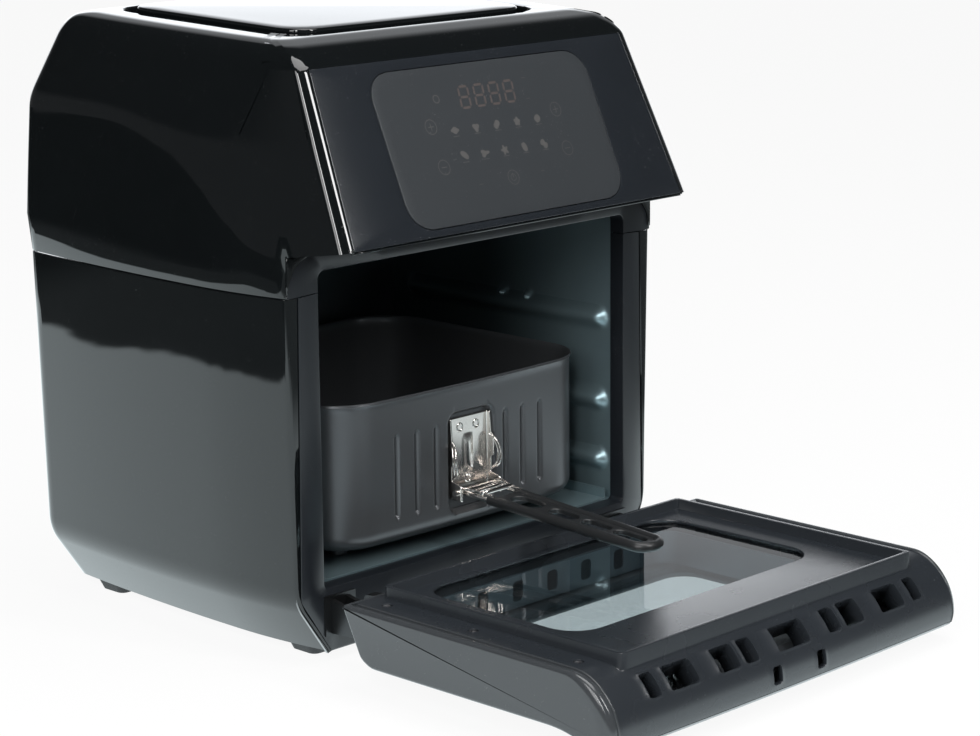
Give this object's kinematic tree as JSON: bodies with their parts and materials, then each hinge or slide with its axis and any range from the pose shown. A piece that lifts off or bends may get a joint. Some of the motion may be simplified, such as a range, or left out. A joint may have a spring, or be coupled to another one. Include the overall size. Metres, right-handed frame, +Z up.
{
  "type": "air fryer oven",
  "caption": "Countertop air fryer oven with a sloping touch panel, a drop-down glazed door, and a deep basket with a folding handle inside a steel cavity.",
  "frame": {"origin": "centre of the whole footprint with the door open, on the surface under the feet", "axes": "+X to the appliance's right as seen from the front, +Y from the front to the back, +Z up"},
  "size_m": [0.326, 0.4935, 0.3693],
  "materials": {
    "black_gloss": "high gloss black moulded plastic",
    "black_satin": "satin black moulded plastic",
    "black_plastic": "plain black moulded plastic",
    "rubber": "matt black rubber",
    "smoked_glass": "dark touch glass with faint printed symbols",
    "clear_glass": "clear toughened glass",
    "display_lens": "dark red display block with four digits",
    "board_green": "green circuit board laminate",
    "board_parts": "relay, capacitor and transformer",
    "pillar_nylon": "white nylon",
    "liner_steel": "aluminised steel sheet, slightly blue-grey",
    "sheet_steel": "zinc-plated steel sheet",
    "pin_steel": "turned steel",
    "screw_steel": "blackened steel screws",
    "heater_sheath": "dark steel heater tube",
    "fan_aluminium": "pressed aluminium",
    "motor_steel": "steel motor can",
    "basket_coating": "dark grey non-stick coating",
    "bracket_chrome": "bright chrome-plated steel",
    "grip_black": "black heat-proof plastic"
  },
  "bodies": {
    "casing": {"lower_shell": "black_gloss", "rear_vent": "black_satin", "cord_inlet": "black_plastic", "base_plate": "sheet_steel", "cavity_rails": "sheet_steel", "feet": "rubber", "foot_screws": "screw_steel", "front_frame_lower": "black_satin", "front_frame_upper": "black_satin", "upper_shell": "black_gloss", "control_panel": "black_gloss", "control_glass": "smoked_glass", "control_board": "board_green", "display": "display_lens", "top_cover": "black_gloss", "cavity_floor": "liner_steel", "cavity_back": "liner_steel", "cavity_wall_left": "liner_steel", "cavity_wall_right": "liner_steel", "cavity_top": "liner_steel", "heating_element": "heater_sheath", "heater_clips": "sheet_steel", "fan_guard": "liner_steel", "heat_shield": "sheet_steel", "motor": "motor_steel", "motor_posts": "sheet_steel", "power_board": "board_green", "board_pillars": "pillar_nylon", "board_parts": "board_parts", "spit_motor": "black_plastic", "catch_guides": "black_satin", "hinge_brackets": "sheet_steel", "hinge_pins": "pin_steel"},
    "fan_shaft": {"motor_shaft": "pin_steel", "hot_air_fan": "fan_aluminium", "cooling_fan": "fan_aluminium"},
    "spit_socket": {"spit_drive": "pin_steel"},
    "door": {"hinge_arms": "sheet_steel", "door_outer_shell": "black_gloss", "door_inner_frame": "black_satin", "door_inner_glass": "clear_glass", "door_outer_glass": "clear_glass", "glazing_channel": "sheet_steel", "door_screws": "screw_steel", "door_bosses": "black_plastic"},
    "basket": {"basket_pan": "basket_coating", "basket_feet": "basket_coating", "handle_bracket": "bracket_chrome", "bracket_rivets": "bracket_chrome"},
    "handle": {"handle_wire": "bracket_chrome", "handle_grip": "grip_black"},
    "tray": {"drip_tray": "basket_coating"},
    "catch_left": {"catch_pin_left": "pin_steel"},
    "catch_right": {"catch_pin_right": "pin_steel"}
  },
  "joints": [
    {"name": "door_hinge", "type": "hinge", "parent": "casing", "child": "door", "pos_m": [0, -0.0249, 0.0267], "axis": [-1, 0, 0], "range_deg": [0, 90]},
    {"name": "basket_slide", "type": "slide", "parent": "casing", "child": "basket", "axis": [0, 0.9903, -0.1392], "range_m": [-0.2, 0]},
    {"name": "handle_fold", "type": "hinge", "parent": "basket", "child": "handle", "pos_m": [0, 0.0032, 0.08], "axis": [-1, 0, 0], "range_deg": [0, 94]},
    {"name": "tray_slide", "type": "slide", "parent": "casing", "child": "tray", "axis": [0, 1, 0], "range_m": [-0.022, 0]},
    {"name": "fan_spin", "type": "hinge", "parent": "casing", "child": "fan_shaft", "pos_m": [0, 0.112, 0.28], "axis": [0, 0, 1], "continuous": true},
    {"name": "spit_turn", "type": "hinge", "parent": "casing", "child": "spit_socket", "pos_m": [-0.13, 0.095, 0.17], "axis": [1, 0, 0], "continuous": true},
    {"name": "catch_left_press", "type": "slide", "parent": "casing", "child": "catch_left", "axis": [0, 0, 1], "range_m": [0, 0.0025], "stiffness_N_per_m": 250, "springref_m": -0.001},
    {"name": "catch_right_press", "type": "slide", "parent": "casing", "child": "catch_right", "axis": [0, 0, 1], "range_m": [0, 0.0025], "stiffness_N_per_m": 250, "springref_m": -0.001}
  ],
  "couplings": [
    {"joint": "handle_fold", "follows": "door_hinge", "ratio": 1.0415}
  ]
}
